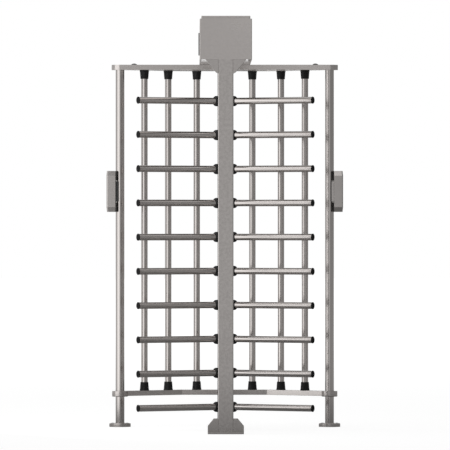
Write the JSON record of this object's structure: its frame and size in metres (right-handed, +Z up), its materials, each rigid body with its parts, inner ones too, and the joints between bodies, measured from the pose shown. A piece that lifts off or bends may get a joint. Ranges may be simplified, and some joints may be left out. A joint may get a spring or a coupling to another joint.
{
  "type": "full height turnstile",
  "caption": "Full height turnstile: a winged rotor of horizontal arms turns between a comb post and a bent guard of upright bars, under a long box head that holds its lock and drive.",
  "frame": {"origin": "on the floor, on the rotor's axis", "axes": "+Z up along the rotor's axis; +X along the way people pass, to the right seen from the comb post; +Y from the comb post to the guard"},
  "size_m": [1.38, 1.4, 2.3575],
  "materials": {
    "stainless_sheet": "satin brushed sheet",
    "stainless_tube": "fine linear-polished tube",
    "polished_sheet": "bright polished sheet",
    "black_rubber": "satin moulded rubber",
    "black_plastic": "fine-textured moulding",
    "grey_plastic": "fine-textured moulding",
    "smoked_lens": "smooth gloss",
    "zinc_steel": "zinc plated",
    "machined_steel": "turned and ground",
    "cast_grey": "painted casting",
    "bronze": "turned bronze",
    "aluminium_pulley": "machined",
    "belt_rubber": "matt rubber",
    "painted_case": "light grey powder coat",
    "aluminium_case": "folded sheet",
    "nickel_brass": "nickel plated"
  },
  "bodies": {
    "frame": {"comb_post": "stainless_sheet", "comb_base_plate": "stainless_sheet", "comb_base_gussets": "stainless_sheet", "comb_head_gussets": "stainless_sheet", "head_housing": "stainless_sheet", "top_beam": "stainless_sheet", "lower_rail": "stainless_sheet", "upper_rail": "stainless_sheet", "rail_collars": "stainless_sheet", "post_flanges": "stainless_sheet", "beam_caps": "stainless_sheet", "reader_shells": "stainless_sheet", "comb_fingers": "stainless_tube", "guard_bars": "stainless_tube", "outer_post_left": "stainless_tube", "outer_post_right": "stainless_tube", "head_floor": "polished_sheet", "comb_finger_caps": "black_rubber", "lower_sleeves": "black_rubber", "upper_sleeves": "black_rubber", "reader_bases": "black_plastic", "reader_clamps": "grey_plastic", "indicator_bezel": "grey_plastic", "indicator_lens": "smoked_lens", "hinge_leaves_fixed": "zinc_steel", "hinge_pins": "zinc_steel", "mechanism_plate": "zinc_steel", "floor_plate": "zinc_steel", "lock_barrel": "machined_steel", "pivot_pin": "machined_steel", "pawl_pins": "machined_steel", "upper_bearing": "machined_steel", "upper_bearing_housing": "cast_grey", "solenoids": "cast_grey", "drive_motor": "cast_grey", "drive_belt": "belt_rubber", "control_box": "painted_case", "power_supply": "aluminium_case", "cable_gland": "nickel_brass"},
    "rotor": {"rotor_column": "stainless_tube", "wing_arms_left": "stainless_tube", "wing_arms_right": "stainless_tube", "wing_arms_rear": "stainless_tube", "arm_collars": "black_rubber", "arm_end_caps": "black_rubber", "spindle": "machined_steel", "bearing_cup": "cast_grey", "lower_bearing": "bronze", "lock_disc": "machined_steel", "rotor_pulley": "aluminium_pulley"},
    "drive_shaft": {"motor_pulley": "aluminium_pulley"},
    "left_pawl": {"pawl_left": "zinc_steel"},
    "right_pawl": {"pawl_right": "zinc_steel"},
    "left_plunger": {"plunger_left": "machined_steel"},
    "right_plunger": {"plunger_right": "machined_steel"},
    "lid": {"head_lid": "stainless_sheet", "hinge_leaves_lid": "zinc_steel", "lid_keeper": "zinc_steel"},
    "lid_lock": {"lock_plug": "machined_steel", "lock_cam": "zinc_steel"}
  },
  "joints": [
    {"name": "rotor_spin", "type": "hinge", "parent": "frame", "child": "rotor", "pos_m": [0, 0, 2.13], "axis": [0, 0, 1], "continuous": true},
    {"name": "motor_spin", "type": "hinge", "parent": "frame", "child": "drive_shaft", "pos_m": [0, 0.23, 2.22], "axis": [0, 0, 1], "continuous": true},
    {"name": "pawl_left_swing", "type": "hinge", "parent": "frame", "child": "left_pawl", "pos_m": [-0.1225, -0.06218, 2.186], "axis": [0, 0, 1], "range_deg": [0, 15], "stiffness_Nm_per_rad": 1},
    {"name": "pawl_right_swing", "type": "hinge", "parent": "frame", "child": "right_pawl", "pos_m": [0.1225, -0.06218, 2.186], "axis": [0, 0, -1], "range_deg": [0, 15], "stiffness_Nm_per_rad": 1},
    {"name": "plunger_left_travel", "type": "slide", "parent": "frame", "child": "left_plunger", "axis": [0.5, 0.866, 0], "range_m": [0, 0.0315]},
    {"name": "plunger_right_travel", "type": "slide", "parent": "frame", "child": "right_plunger", "axis": [-0.5, 0.866, 0], "range_m": [0, 0.0315]},
    {"name": "lid_open", "type": "hinge", "parent": "frame", "child": "lid", "pos_m": [0.1382, 0, 2.345], "axis": [0, 1, 0], "range_deg": [0, 95]},
    {"name": "lock_turn", "type": "hinge", "parent": "frame", "child": "lid_lock", "pos_m": [-0.08, 0.69, 2.31], "axis": [0, -1, 0], "range_deg": [0, 90]}
  ],
  "couplings": [
    {"joint": "motor_spin", "follows": "rotor_spin", "ratio": 2.5},
    {"joint": "plunger_left_travel", "follows": "pawl_left_swing", "m_per_rad": 0.11841},
    {"joint": "plunger_right_travel", "follows": "pawl_right_swing", "m_per_rad": 0.11841}
  ]
}
